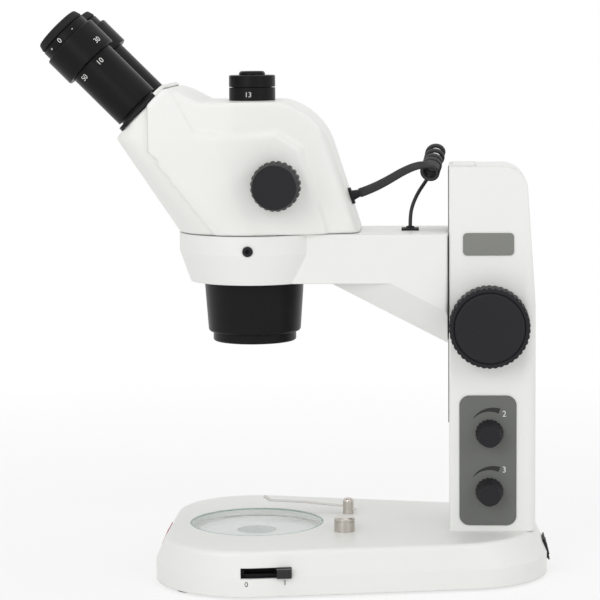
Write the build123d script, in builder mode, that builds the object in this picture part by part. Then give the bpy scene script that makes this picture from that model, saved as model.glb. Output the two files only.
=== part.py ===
from build123d import *
import os
from math import acos, atan2, cos, degrees, pi, radians, sin, tan

os.makedirs("parts", exist_ok=True)

# Trinocular stereo microscope on a lit base: millimetres, Z up, X towards the pillar.
BASE_ALIGN = (Align.CENTER, Align.CENTER, Align.MIN)
RUNNING = 0.05        # radial clearance of a turning fit
GAP = 0.3             # clearance between pieces that pass each other
AXIS_X = -31.0        # optical axis of head, nosepiece and stage plate

# Base
FOOT = 1.7            # rubber feet lift the housing
CREASE = 15.0         # vertical skirt ends, sloped band begins
BASE_TOP = 33.0
BASE_WALL = 2.5
TOP_WALL = 3.0
PLATE_T = 2.0         # bottom plate
STAGE_R = 47.5        # 95 mm stage plate
STAGE_T = 5.0
SEAT_Z = BASE_TOP - STAGE_T
SEAT_T = 3.0
SEAT_R = 43.0

# Pillar
PILLAR_FRONT = 107.2
PILLAR_REAR = 167.6
PILLAR_HALF = 30.0
PILLAR_TOP = 289.4
PILLAR_WALL = 3.0
SLOT_HALF = 12.3
SLOT_LOW = 109.0

# Focus drive
SHAFT_X = 135.2
SHAFT_Z = 179.4
SHAFT_R = 4.0
TEETH = 16            # module 1 pinion
PITCH_R = TEETH / 2
TOOTH_HALF = 0.66     # thinned for backlash
RACK_X = SHAFT_X - PITCH_R
SLIDE_X = 111.0
SLIDE_BACK = 121.0
SLIDE_LOW = 127.0
SLIDE_HIGH = 238.0
NECK_HALF = 12.0
TAIL_HALF = 17.8
FOCUS_R = 28.0

# Arm
ARM_TOP = 243.2
ARM_REAR = 106.2
ARM_HALF = 34.5
RING_R = 52.5
RING_LOW = 208.7
RING_CREASE = 230.0
SOCKET_R = 44.2
SOCKET_Z = 227.0

# Head
HEAD_LOW = ARM_TOP + GAP
HEAD_WIDE = 310.0     # level of the widest section
HEAD_TOP = HEAD_WIDE + 25.3
HUMP = HEAD_TOP + 9.9  # crest behind the eye plate
LEDGE = 3.0           # side panels stand this far out
ZOOM_X = -10.8
ZOOM_Z = 278.4
ZOOM_R = 17.1
PORT_R = 16.3
PORT_SEAM = HEAD_TOP + 8.9     # top of the tube's wide collar
PORT_NECK = PORT_SEAM + 5.0    # top of the neck that the cap covers
PORT_NECK_R = 14.0
CAP_TOP = PORT_NECK + 3.8

# Eye tubes, measured along their 45 degree axes from the tube's lower end
EYE_X = -109.0
EYE_Z = HEAD_WIDE + 22.15
EYE_Y = 30.0
PIVOT_Y = 31.5
PIVOT_S = 4.77
TUBE_R = 17.1
TUBE_L = 43.8
EYEPIECE_R = 15.0     # 30 mm eyepieces
BARREL_R = 20.9
BARREL_TOP = 65.0
FRONT_T = -5.4        # housing face under the eye plate
EYE_PLATE_T = 2.5

EYE = Plane(origin=(EYE_X, 0, EYE_Z), x_dir=(0, -1, 0), z_dir=(-1, 0, 1))


def disc(x, y, low, high, radius, mode=Mode.ADD):
    """Upright cylinder between two levels of the working plane."""
    with Locations((x, y, low)):
        Cylinder(radius, high - low, align=BASE_ALIGN, mode=mode)


def cone(x, y, low, high, low_r, high_r, mode=Mode.ADD):
    """Upright cone between two levels of the working plane."""
    with Locations((x, y, low)):
        Cone(low_r, high_r, high - low, align=BASE_ALIGN, mode=mode)


def block(x, y, z, mode=Mode.ADD):
    """Box given by its three (low, high) spans."""
    with Locations(((x[0] + x[1]) / 2, (y[0] + y[1]) / 2, (z[0] + z[1]) / 2)):
        Box(x[1] - x[0], y[1] - y[0], z[1] - z[0], mode=mode)


def across(x, z, side):
    """Plane whose Z runs outwards along Y, away from the middle of the object."""
    return Plane(origin=(x, 0, z), x_dir=(1, 0, 0), z_dir=(0, side, 0))


def save(name, piece):
    piece.part.label = name
    export_step(piece.part, f"parts/{name}.step")


# Base
def base_outline(level, inset, height):
    """Tapered outline with large rounded corners, of the skirt or of the top."""
    top = level == "top"
    front = -91.4 if top else -99.5
    rear = 168.5 if top else 176.2
    front_half = 108.0 if top else 113.6
    rear_half = 62.2 if top else 62.5
    with BuildSketch(Plane.XY.offset(height)) as outline:
        Polygon(
            (front, -front_half),
            (rear, -rear_half),
            (rear, rear_half),
            (front, front_half),
            align=None,
        )
        fillet(vertices().group_by(Axis.X)[0], 55 if top else 67)
        fillet(vertices().group_by(Axis.X)[-1], 70 if top else 62)
        if inset:
            offset(amount=-inset)
    return outline.sketch


def base_body(inset, high, mode):
    """Upright skirt and the band that slopes in to the top."""
    extrude(base_outline("skirt", inset, FOOT), amount=CREASE - FOOT, mode=mode)
    skirt = base_outline("skirt", inset, CREASE)
    loft([skirt, base_outline("top", inset, high)], ruled=True, mode=mode)


screw_spots = [(-70, -58), (-70, 58), (40, -72), (40, 72), (135, -48), (135, 48)]
foot_spots = [(-72, -72), (-72, 72), (128, -52), (128, 52)]
lever_place = Location((-4.8, -97.5, 18), (0, 0, 7))
LEVER_TRAVEL = 24.0
rocker_plane = Plane(
    origin=(175.2, 0, 16),
    x_dir=(0, 1, 0),
    z_dir=(cos(radians(14)), 0, sin(radians(14))),
)
JACK_Y = 28.0
JACK_Z = 9.0
pillar_screw_spots = [(118, -19), (118, 19), (157, -19), (157, 19)]
POST = (33.4, 30.0)

with BuildPart() as base_housing:
    base_body(0, BASE_TOP, Mode.ADD)
    fillet(faces().sort_by(Axis.Z)[-1].edges(), 4)
    base_body(BASE_WALL, BASE_TOP - TOP_WALL, Mode.SUBTRACT)
    disc(AXIS_X, 0, SEAT_Z - SEAT_T, BASE_TOP - TOP_WALL, STAGE_R + 3.5)
    disc(AXIS_X, 0, SEAT_Z, BASE_TOP, STAGE_R + GAP, Mode.SUBTRACT)
    disc(AXIS_X, 0, SEAT_Z - SEAT_T, SEAT_Z, SEAT_R, Mode.SUBTRACT)
    for x, y in screw_spots:
        disc(x, y, FOOT + PLATE_T, BASE_TOP - TOP_WALL, 4.5)
        disc(x, y, FOOT, 16, 1.5, Mode.SUBTRACT)
    with Locations(lever_place):
        with Locations((-LEVER_TRAVEL / 2, 0, 0)):
            Box(LEVER_TRAVEL + 10.8, 20, 7.2, mode=Mode.SUBTRACT)
    with Locations(rocker_plane):
        Box(20 + GAP, 13 + GAP, 12, mode=Mode.SUBTRACT)
        with Locations((0, 0, 5.2)):
            Box(22.5 + GAP, 15 + GAP, 10, mode=Mode.SUBTRACT)
    with Locations(Location((160, JACK_Y, JACK_Z), (0, 90, 0))):
        Cylinder(5, 20, align=BASE_ALIGN, mode=Mode.SUBTRACT)
    disc(SHAFT_X, 0, BASE_TOP - TOP_WALL, BASE_TOP, 8, Mode.SUBTRACT)
    for x, y in pillar_screw_spots:
        disc(x, y, BASE_TOP - TOP_WALL, BASE_TOP, 2, Mode.SUBTRACT)
    disc(POST[0], POST[1], BASE_TOP - TOP_WALL, BASE_TOP, 2.4 + RUNNING, Mode.SUBTRACT)
save("base_housing", base_housing)

with BuildPart() as base_plate:
    extrude(base_outline("skirt", BASE_WALL + GAP, FOOT), amount=PLATE_T)
    for x, y in screw_spots:
        disc(x, y, FOOT, FOOT + PLATE_T, 1.5, Mode.SUBTRACT)
        disc(x, y, FOOT, FOOT + 1.2, 3, Mode.SUBTRACT)
save("base_plate", base_plate)

with BuildPart() as base_feet:
    for x, y in foot_spots:
        cone(x, y, 0, FOOT, 8.5, 9)
save("base_feet", base_feet)

RAIL_SCREW_Z = (125, 165, 205, 245, 275)
with BuildPart() as stand_screws:
    for x, y in screw_spots:
        disc(x, y, FOOT, FOOT + 1.2, 3)
        disc(x, y, FOOT + 1.2, 15, 1.5)
    for x, y in pillar_screw_spots:
        disc(x, y, BASE_TOP - TOP_WALL - 3, BASE_TOP - TOP_WALL, 3.5)
        disc(x, y, BASE_TOP - TOP_WALL, BASE_TOP + 5, 2)
    for z in RAIL_SCREW_Z:
        for y in (-22, 22):
            with Locations(Location((SLIDE_BACK - 8, y, z), (0, 90, 0))):
                Cylinder(1.5, 8, align=BASE_ALIGN)
                with Locations((0, 0, 8)):
                    Cylinder(2.8, 2, align=BASE_ALIGN)
save("stand_screws", stand_screws)

with BuildPart() as stage_plate:
    disc(AXIS_X, 0, SEAT_Z, BASE_TOP, STAGE_R)
    chamfer(edges().filter_by(GeomType.CIRCLE), 0.6)
save("stage_plate", stage_plate)

WINDOW_R = 14.0
with BuildPart() as light_pan:
    disc(AXIS_X, 0, SEAT_Z - SEAT_T - 2.5, SEAT_Z - SEAT_T, STAGE_R + 1.5)
    disc(AXIS_X, 0, SEAT_Z - SEAT_T, SEAT_Z - 0.8, SEAT_R - GAP)
    disc(AXIS_X, 0, 0, SEAT_Z, WINDOW_R, Mode.SUBTRACT)
save("light_pan", light_pan)

with BuildPart() as light_window:
    disc(AXIS_X, 0, SEAT_Z - SEAT_T - 2.5, SEAT_Z - 1.2, WINDOW_R)
    fillet(edges().sort_by(Axis.Z)[-1], 0.8)
save("light_window", light_window)

BOARD_Z = 13.0
with BuildPart() as lamp_board:
    disc(AXIS_X, 0, BOARD_Z, BOARD_Z + 1.6, 20)
    for angle in range(30, 360, 120):
        x = AXIS_X + 16 * cos(radians(angle))
        y = 16 * sin(radians(angle))
        disc(x, y, FOOT + PLATE_T, BOARD_Z, 3)
    disc(AXIS_X, 0, BOARD_Z + 1.6, BOARD_Z + 5, 6)
    fillet(edges().sort_by(Axis.Z)[-1], 2.5)
save("lamp_board", lamp_board)

with BuildPart() as front_badge:
    tilt = degrees(atan2(8.1, BASE_TOP - CREASE))
    with Locations(Location((-95.85, 0, 24.15), (0, tilt, 0))):
        Box(0.8, 25, 12)
    fillet(edges().filter_by(lambda e: abs(e.length - 0.8) < 0.01), 1.5)
save("front_badge", front_badge)

with BuildPart() as lever_switch:
    with Locations(lever_place):
        with Locations((-LEVER_TRAVEL / 2, 13.5, 0)):
            Box(44, 11, 10)
            with Locations((0, -2.5, 0)):
                Box(LEVER_TRAVEL + 5.6, 6, 3.6, mode=Mode.SUBTRACT)
            with Locations((0, 1, 0)):
                Box(LEVER_TRAVEL + 10.6, 5.6, 5.6, mode=Mode.SUBTRACT)
save("lever_switch", lever_switch)

with BuildPart() as light_lever:
    with Locations(lever_place):
        Box(10, 6, 6.4)
        fillet(edges().filter_by(lambda e: e.center().Y < -99), 0.8)
        with Locations((0, 7.5, 0)):
            Box(5, 10, 3)
        with Locations((0, 14.5, 0)):
            Box(10, 5, 5)
save("light_lever", light_lever)

with BuildPart() as switch_frame:
    with Locations(rocker_plane):
        with Locations((0, 0, -4)):
            Box(20, 13, 9)
        with Locations((0, 0, 0.8)):
            Box(22.5, 15, 1.2)
        Box(17.6, 10.6, 20, mode=Mode.SUBTRACT)
save("switch_frame", switch_frame)

with BuildPart() as power_rocker:
    with Locations(rocker_plane):
        Box(16.8, 9.2, 4)
        with Locations((0, 0, -3)):
            Box(16.8, 5, 3)
save("power_rocker", power_rocker)

with BuildPart() as power_jack:
    with Locations(Location((158, JACK_Y, JACK_Z), (0, 90, 0))):
        Cylinder(5, 16.6, align=BASE_ALIGN)
        with Locations((0, 0, 7)):
            Cylinder(2.8, 10, align=BASE_ALIGN, mode=Mode.SUBTRACT)
            Cylinder(1, 8, align=BASE_ALIGN)
save("power_jack", power_jack)

with BuildPart() as clip_stud:
    disc(POST[0], -POST[1], BASE_TOP, BASE_TOP + 7, 7.3)
    disc(POST[0], -POST[1], BASE_TOP + 7, BASE_TOP + 7.6, 6.7)
    disc(POST[0], -POST[1], BASE_TOP + 7.6, BASE_TOP + 10.2, 7.3)
    chamfer(edges().sort_by(Axis.Z)[-1], 1)
save("clip_stud", clip_stud)

clip_plane = Plane(
    origin=(POST[0], POST[1], 0),
    x_dir=(-cos(radians(6)), sin(radians(6)), 0),
    z_dir=(sin(radians(6)), cos(radians(6)), 0),
)
with BuildPart() as clip_spring:
    with BuildSketch(clip_plane):
        with BuildLine():
            Polyline((-6, 35.8), (0, 38.2), (33.4, 40.7), (57.6, 41.2), (62.4, 44.2))
        trace(line_width=0.7)
    extrude(amount=2.75, both=True)
save("clip_spring", clip_spring)

with BuildPart() as clip_post:
    disc(POST[0], POST[1], BASE_TOP - TOP_WALL, BASE_TOP, 2.4)
    disc(POST[0], POST[1], BASE_TOP, BASE_TOP + 11.5, 3.9)
    fillet(edges().sort_by(Axis.Z)[-1], 2.4)
    add(clip_spring.part, mode=Mode.SUBTRACT)
save("clip_post", clip_post)


# Pillar with the guide for the arm, the bushes and the control panel
def pillar_profile(inset):
    """Side view: rear face leans in above the focus drive, rounded at the top."""
    rear = PILLAR_REAR - inset
    top = PILLAR_TOP - inset
    front = PILLAR_FRONT + inset
    low = BASE_TOP + 2 * inset
    with BuildSketch(Plane.XZ) as profile:
        with BuildLine():
            Polyline((146, top), (front, top), (front, low), (rear, low), (rear, 190))
            Polyline((rear, 190), (rear - 4, 247.5), (rear - 6, top - 13))
            ThreePointArc((rear - 6, top - 13), (155 - inset / 2, top - 3.3), (146, top))
        make_face()
    return profile.sketch


with BuildPart() as pillar_housing:
    with BuildSketch(Plane.XY.offset(BASE_TOP)):
        with Locations(((PILLAR_FRONT + PILLAR_REAR) / 2, 0)):
            Rectangle(PILLAR_REAR - PILLAR_FRONT, 2 * PILLAR_HALF)
        fillet(vertices().group_by(Axis.X)[-1], 8.5)
        fillet(vertices().group_by(Axis.X)[0], 1.5)
    extrude(amount=PILLAR_TOP - BASE_TOP)
    extrude(pillar_profile(0), amount=PILLAR_HALF, both=True, mode=Mode.INTERSECT)
    inner_half = PILLAR_HALF - PILLAR_WALL - 0.5
    extrude(pillar_profile(PILLAR_WALL), amount=inner_half, both=True, mode=Mode.SUBTRACT)
    slot_top = PILLAR_TOP - PILLAR_WALL
    block(
        (PILLAR_FRONT - 1, PILLAR_FRONT + PILLAR_WALL),
        (-SLOT_HALF, SLOT_HALF),
        (SLOT_LOW, slot_top),
        Mode.SUBTRACT,
    )
    with Locations((SHAFT_X, 0, SHAFT_Z)):
        Cylinder(7, 2 * PILLAR_HALF, rotation=(90, 0, 0), mode=Mode.SUBTRACT)
    for z in (61.8, 103.2):
        with Locations((135.3, -PILLAR_HALF, z)):
            Cylinder(3.6, 12, rotation=(90, 0, 0), mode=Mode.SUBTRACT)
    disc(SHAFT_X, 0, BASE_TOP, BASE_TOP + 2 * PILLAR_WALL, 8, Mode.SUBTRACT)
    for x, y in pillar_screw_spots:
        disc(x, y, BASE_TOP, BASE_TOP + 5, 2, Mode.SUBTRACT)
    block((109.4, 125.8), (-24, 24), (PILLAR_TOP, PILLAR_TOP + 0.8))
save("pillar_housing", pillar_housing)

STRIP_X = 106.6
with BuildPart() as slide_strip:
    block((STRIP_X, PILLAR_FRONT), (-20, 20), (SLOT_LOW, PILLAR_TOP - 2))
    block((0, 120), (-SLOT_HALF, SLOT_HALF), (0, slot_top), Mode.SUBTRACT)
save("slide_strip", slide_strip)

with BuildPart() as guide_rails:
    with BuildSketch(Plane.XY.offset(SLOT_LOW + 3)):
        back_y = TAIL_HALF + 0.12
        front_x = PILLAR_FRONT + PILLAR_WALL
        Polygon(
            (front_x, SLOT_HALF),
            (SLIDE_X + 0.3, SLOT_HALF),
            (SLIDE_BACK, back_y),
            (SLIDE_BACK, 25.5),
            (front_x, 25.5),
            align=None,
        )
        mirror(about=Plane.XZ)
    extrude(amount=PILLAR_TOP - SLOT_LOW - 8)
    for z in RAIL_SCREW_Z:
        for y in (-22, 22):
            with Locations((SLIDE_BACK, y, z)):
                Cylinder(1.5, 16, rotation=(0, 90, 0), mode=Mode.SUBTRACT)
save("guide_rails", guide_rails)

with BuildPart() as shaft_bushes:
    for side in (-1, 1):
        with Locations(Location((SHAFT_X, side * 24.5, SHAFT_Z), (-90 * side, 0, 0))):
            Cylinder(7, 6, align=BASE_ALIGN)
            Cylinder(SHAFT_R + RUNNING, 6, align=BASE_ALIGN, mode=Mode.SUBTRACT)
save("shaft_bushes", shaft_bushes)

PANEL_T = 0.8
near_wall = Plane(origin=(0, -PILLAR_HALF, 0), x_dir=(1, 0, 0), z_dir=(0, -1, 0))
with BuildPart() as face_plates:
    with BuildSketch(near_wall):
        with Locations((134.2, 83.65)):
            RectangleRounded(39.8, 92.1, 7)
        with Locations((135.3, 61.8), (135.3, 103.2)):
            Circle(3.6, mode=Mode.SUBTRACT)
        with Locations((134.6, 235.7)):
            RectangleRounded(35.2, 15.6, 2.8)
    extrude(amount=PANEL_T)
save("face_plates", face_plates)

with BuildPart() as dimmer_pots:
    for z in (61.8, 103.2):
        with Locations(Location((135.3, -26.5, z), (-90, 0, 0))):
            Cylinder(8.5, 11, align=BASE_ALIGN)
            Cylinder(3 + RUNNING, 7, align=BASE_ALIGN, mode=Mode.SUBTRACT)
save("dimmer_pots", dimmer_pots)


def light_knob(name, z):
    """Tapered ribbed knob with the spindle of its dimmer."""
    with BuildPart(across(135.3, z, -1)) as knob:
        cone(0, 0, 31.2, 47, 9.8, 7.5)
        fillet(edges().sort_by(Axis.Y)[0], 0.8)
        with PolarLocations(9.9, 20):
            with Locations((0, 0, 30)):
                Cylinder(0.8, 13, align=BASE_ALIGN, mode=Mode.SUBTRACT)
        disc(0, 0, 20, 31.2, 3)
    save(name, knob)


light_knob("light_knob_lower", 61.8)
light_knob("light_knob_upper", 103.2)

# Focus drive: shaft, pinion, rack, fluted hand wheels
with BuildPart() as focus_shaft:
    with BuildSketch(Plane(origin=(SHAFT_X, 5, SHAFT_Z), x_dir=(1, 0, 0), z_dir=(0, -1, 0))):
        Circle(PITCH_R - 1.25)
        with PolarLocations(0, TEETH, start_angle=180 / TEETH):
            Polygon(
                (PITCH_R - 1.5, -0.85),
                (PITCH_R, -TOOTH_HALF),
                (PITCH_R + 1, -0.22),
                (PITCH_R + 1, 0.22),
                (PITCH_R, TOOTH_HALF),
                (PITCH_R - 1.5, 0.85),
                align=None,
            )
    extrude(amount=10)
    with Locations((SHAFT_X, 0, SHAFT_Z)):
        Cylinder(SHAFT_R, 100, rotation=(90, 0, 0))
save("focus_shaft", focus_shaft)


def focus_knob(name, side):
    """Large hand wheel: fluted rim around a slightly domed face."""
    with BuildPart(across(SHAFT_X, SHAFT_Z, side)) as knob:
        disc(0, 0, 31.2, 51, FOCUS_R)
        chamfer(edges().filter_by(GeomType.CIRCLE), 1)
        with PolarLocations(FOCUS_R + 0.6, 42):
            with Locations((0, 0, 31.2)):
                Cylinder(1.3, 20, align=BASE_ALIGN, mode=Mode.SUBTRACT)
        disc(0, 0, 50, 51, 24.8, Mode.SUBTRACT)
        disc(0, 0, 50, 52.6, 24.3)
        fillet(edges().sort_by(Axis.Y)[0 if side < 0 else -1], 1.5)
        disc(0, 0, 31.2, 50, SHAFT_R, Mode.SUBTRACT)
    save(name, knob)


focus_knob("focus_knob_near", -1)
focus_knob("focus_knob_far", 1)

# Arm: casting with the head socket, dovetail slide and rack
with BuildPart() as focus_arm:
    with BuildSketch(Plane.XZ):
        Polygon(
            (AXIS_X, ARM_TOP),
            (ARM_REAR, ARM_TOP),
            (ARM_REAR, 165.6),
            (22.6, RING_LOW),
            (AXIS_X, RING_LOW),
            align=None,
        )
    extrude(amount=ARM_HALF, both=True)
    for side in (-1, 1):
        face = faces().sort_by(Axis.Y)[-1 if side > 0 else 0]
        edge = face.edges().filter_by(
            lambda e: e.center().X < 100 and e.center().Z < 208 and e.length > 60
        )
        chamfer(edge, 20.5, 14.5, reference=face)
    fillet(edges().filter_by(Axis.Z).group_by(Axis.X)[-1], 2)
    disc(AXIS_X, 0, RING_CREASE, ARM_TOP, RING_R)
    cone(AXIS_X, 0, RING_LOW, RING_CREASE, 45, RING_R)
    disc(AXIS_X, 0, RING_LOW, ARM_TOP, 38.5, Mode.SUBTRACT)
    disc(AXIS_X, 0, SOCKET_Z, ARM_TOP, SOCKET_R, Mode.SUBTRACT)
    with Locations(across(AXIS_X, 233, -1)):
        disc(0, 0, 40, 60, 3.5 + RUNNING, Mode.SUBTRACT)
    for y in (-8.5, 8.5):
        for z in (182, 226):
            with Locations(Location((94, y, z), (0, 90, 0))):
                Cylinder(2, 20, align=BASE_ALIGN, mode=Mode.SUBTRACT)
    disc(79.9, 0, ARM_TOP - 5, ARM_TOP, 3.5, Mode.SUBTRACT)
save("focus_arm", focus_arm)

with BuildPart() as arm_slide:
    with BuildSketch(Plane.XY.offset(SLIDE_LOW)):
        Polygon(
            (SLIDE_X, NECK_HALF),
            (SLIDE_BACK, TAIL_HALF),
            (SLIDE_BACK, -TAIL_HALF),
            (SLIDE_X, -NECK_HALF),
            align=None,
        )
    extrude(amount=SLIDE_HIGH - SLIDE_LOW)
    block((ARM_REAR, SLIDE_X), (-NECK_HALF, NECK_HALF), (167, SLIDE_HIGH))
    for y in (-8.5, 8.5):
        for z in (182, 226):
            with Locations(Location((ARM_REAR, y, z), (0, 90, 0))):
                Cylinder(2, 20, align=BASE_ALIGN, mode=Mode.SUBTRACT)
            with Locations(Location((117, y, z), (0, 90, 0))):
                Cylinder(3.5, 5, align=BASE_ALIGN, mode=Mode.SUBTRACT)
save("arm_slide", arm_slide)

with BuildPart() as arm_screws:
    for y in (-8.5, 8.5):
        for z in (182, 226):
            with Locations(Location((94, y, z), (0, 90, 0))):
                Cylinder(2, 23, align=BASE_ALIGN)
            with Locations(Location((117, y, z), (0, 90, 0))):
                Cylinder(3.5, 4, align=BASE_ALIGN)
save("arm_screws", arm_screws)

RACK_HALF = 4.6
with BuildPart() as focus_rack:
    block((SLIDE_BACK, RACK_X - 1.25), (-RACK_HALF, RACK_HALF), (SLIDE_LOW, SLIDE_HIGH))
    with BuildSketch(Plane.XZ):
        for k in range(-16, 19):
            z = SHAFT_Z + k * pi
            Polygon(
                (RACK_X - 1.25, z - 1.1),
                (RACK_X + 1, z - 0.3),
                (RACK_X + 1, z + 0.3),
                (RACK_X - 1.25, z + 1.1),
                align=None,
            )
    extrude(amount=RACK_HALF, both=True)
save("focus_rack", focus_rack)

with BuildPart(across(AXIS_X, 233, -1)) as clamp_screw:
    disc(0, 0, 44.4, 54.2, 3.5)
    chamfer(edges().sort_by(Axis.Y)[0], 0.6)
    with BuildSketch(Plane(origin=(AXIS_X, -54.2, 233), x_dir=(1, 0, 0), z_dir=(0, -1, 0))):
        RegularPolygon(1.7, 6)
    extrude(amount=-3, mode=Mode.SUBTRACT)
save("clamp_screw", clamp_screw)


# Head
def head_outline(level, inset, shell, height):
    """Plan outline: rounded front, sides that close in behind the optical axis."""
    low = level == "low"
    front = -82.5 if low else -122.2
    mid_x = -24 if low else -40
    rear = 45.4 if low else 23.8
    half = (51 if low else 54.5) - inset
    rear_half = (31.8 if low else 37.4) - inset
    with BuildSketch(Plane.XY.offset(height)) as outline:
        Polygon(
            (front, -half),
            (mid_x, -half),
            (rear, -rear_half),
            (rear, rear_half),
            (mid_x, half),
            (front, half),
            align=None,
        )
        fillet(vertices().group_by(Axis.X)[1], 25)
        fillet(vertices().group_by(Axis.X)[-1], 10)
        fillet(vertices().group_by(Axis.X)[0], 47 - inset if low else 16)
        if shell:
            offset(amount=-shell)
    return outline.sketch


def head_profile():
    """Side view: nose, 45 degree front, hump behind the eye plate, flat top."""
    with BuildSketch(Plane.XZ) as profile:
        with BuildLine():
            Polyline((-10, HEAD_TOP), (-63.5, HEAD_TOP), (-74, HEAD_TOP + 5.3))
            ThreePointArc((-74, HEAD_TOP + 5.3), (-81, HEAD_TOP + 8.5), (-88.3, HUMP))
            Polyline((-88.3, HUMP), (-130, HUMP - 41.7), (-130, HEAD_LOW), (60, HEAD_LOW))
            Polyline((60, HEAD_LOW), (60, HEAD_TOP - 29.3), (25, HEAD_TOP - 29.3))
            ThreePointArc((25, HEAD_TOP - 29.3), (11.3, HEAD_TOP - 10.3), (-10, HEAD_TOP))
        make_face()
    return profile.sketch


def cavity_profile():
    """Side view of the room for the optics."""
    top = HEAD_TOP - SHELL
    low = HEAD_LOW + SHELL
    with BuildSketch(Plane.XZ) as profile:
        with BuildLine():
            Polyline((-12, top), (-90, top), (-130, HUMP - 53.8), (-130, low), (60, low))
            Polyline((60, low), (60, top - 29.3), (21, top - 29.3))
            ThreePointArc((21, top - 29.3), (8.3, top - 9.8), (-12, top))
        make_face()
    return profile.sketch


def head_body(inset, shell, profile):
    """Tapered lower body, straight upper body, cut to a side profile."""
    low = head_outline("low", inset, shell, HEAD_LOW)
    wide = head_outline("wide", inset, shell, HEAD_WIDE)
    loft([low, wide], ruled=True)
    extrude(wide, amount=40)
    extrude(profile, amount=60, both=True, mode=Mode.INTERSECT)


SHELL = 4.0
side_plane = Plane(
    origin=(-65, -52.5, 0),
    x_dir=(cos(radians(9)), sin(radians(9)), 0),
    z_dir=(sin(radians(9)), -cos(radians(9)), 0),
)
with BuildPart() as panel_region:
    with BuildSketch(side_plane.offset(-4)):
        Polygon(
            (-80, 370),
            (-38, 370),
            (-2, 315),
            (54.2, 315.7),
            (71.4, 303),
            (76, 284),
            (86.8, 248.6),
            (90, 230),
            (-80, 230),
            align=None,
        )
        offset(amount=4, kind=Kind.INTERSECTION)
    extrude(amount=8, taper=45)
    mirror(about=Plane.XZ)

with BuildPart() as head_panels:
    head_body(0, 0, head_profile())
    add(panel_region.part, mode=Mode.INTERSECT)

with BuildPart() as head_cavity:
    head_body(LEDGE, SHELL, cavity_profile())

with BuildPart() as head_housing:
    head_body(LEDGE, 0, head_profile())
    add(head_panels.part)
    add(head_cavity.part, mode=Mode.SUBTRACT)
    disc(AXIS_X, 0, HEAD_LOW, HEAD_LOW + 10, 28, Mode.SUBTRACT)
    disc(AXIS_X, 0, HEAD_TOP - 10, HEAD_TOP, 13, Mode.SUBTRACT)
    with Locations((ZOOM_X, 0, ZOOM_Z)):
        Cylinder(3 + RUNNING, 120, rotation=(90, 0, 0), mode=Mode.SUBTRACT)
    for side in (-1, 1):
        with Locations(EYE):
            with Locations((side * PIVOT_Y, PIVOT_S, FRONT_T - 3.5)):
                Cylinder(18.8, 3.5, align=BASE_ALIGN, mode=Mode.SUBTRACT)
            with Locations((side * EYE_Y, 0, -30)):
                Cylinder(12, 30, align=BASE_ALIGN, mode=Mode.SUBTRACT)
save("head_housing", head_housing)

with BuildPart(EYE) as eye_plate:
    with BuildSketch(EYE.offset(FRONT_T)):
        with Locations((0, 3.5)):
            RectangleRounded(106, 42.2, 10)
        with Locations((-PIVOT_Y, PIVOT_S), (PIVOT_Y, PIVOT_S)):
            Circle(17.4, mode=Mode.SUBTRACT)
    extrude(amount=EYE_PLATE_T)
save("eye_plate", eye_plate)

NOSE_LOW = 172.0
RING_BOTTOM = 165.4
with BuildPart() as nose_cone:
    cone(AXIS_X, 0, NOSE_LOW, SOCKET_Z, 32.7, 36.6)
    fillet(edges().sort_by(Axis.Z)[0], 2)
    disc(AXIS_X, 0, SOCKET_Z, HEAD_LOW, SOCKET_R - 0.1)
    disc(AXIS_X, 0, NOSE_LOW, SOCKET_Z, 28, Mode.SUBTRACT)
    disc(AXIS_X, 0, SOCKET_Z, HEAD_LOW, 30, Mode.SUBTRACT)
save("nose_cone", nose_cone)

with BuildPart() as nose_ring:
    disc(AXIS_X, 0, RING_BOTTOM, NOSE_LOW, 29.5)
    chamfer(edges().sort_by(Axis.Z)[0], 0.8)
    disc(AXIS_X, 0, NOSE_LOW, NOSE_LOW + 6, 28)
    disc(AXIS_X, 0, RING_BOTTOM, NOSE_LOW + 6, 25.5, Mode.SUBTRACT)
save("nose_ring", nose_ring)

with BuildPart() as objective_glass:
    disc(AXIS_X, 0, RING_BOTTOM + 2.5, NOSE_LOW + 6, 25.5)
    fillet(edges().sort_by(Axis.Z)[0], 1.5)
save("objective_glass", objective_glass)

BENCH_Z = 230.0
with BuildPart() as zoom_barrels:
    disc(AXIS_X, 0, BENCH_Z, BENCH_Z + 4, 30)
    for y in (-13, 13):
        disc(AXIS_X, y, BENCH_Z, 290, 11)
        disc(AXIS_X, y, BENCH_Z, 290, 9, Mode.SUBTRACT)
save("zoom_barrels", zoom_barrels)

with BuildPart() as erecting_prisms:
    for y in (-13, 13):
        with BuildSketch(Plane.XZ.offset(-y - 11)):
            Polygon((-44, 290), (-18, 290), (-18, 316), align=None)
        extrude(amount=22)
save("erecting_prisms", erecting_prisms)

with BuildPart() as photo_tube:
    disc(AXIS_X, 0, HEAD_TOP - 6, HEAD_TOP, 13)
    disc(AXIS_X, 0, HEAD_TOP, PORT_SEAM, PORT_R)
    disc(AXIS_X, 0, PORT_SEAM, PORT_NECK, PORT_NECK_R)
    disc(AXIS_X, 0, HEAD_TOP - 6, PORT_NECK + 0.8, 11.6, Mode.SUBTRACT)
save("photo_tube", photo_tube)

with BuildPart() as photo_cap:
    disc(AXIS_X, 0, PORT_SEAM + 0.6, CAP_TOP, PORT_R)
    fillet(edges().sort_by(Axis.Z)[-1], 1)
    disc(AXIS_X, 0, CAP_TOP, CAP_TOP + 2.8, 9.2)
    fillet(edges().sort_by(Axis.Z)[-1], 2)
    disc(AXIS_X, 0, PORT_SEAM + 0.6, PORT_NECK + 0.6, PORT_NECK_R + GAP, Mode.SUBTRACT)
save("photo_cap", photo_cap)

# Zoom drive
with BuildPart(across(ZOOM_X, ZOOM_Z, -1)) as zoom_shaft:
    disc(0, 0, -66, 66, 3)
    disc(0, 0, -1.6, 1.6, 9.5)
save("zoom_shaft", zoom_shaft)

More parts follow.
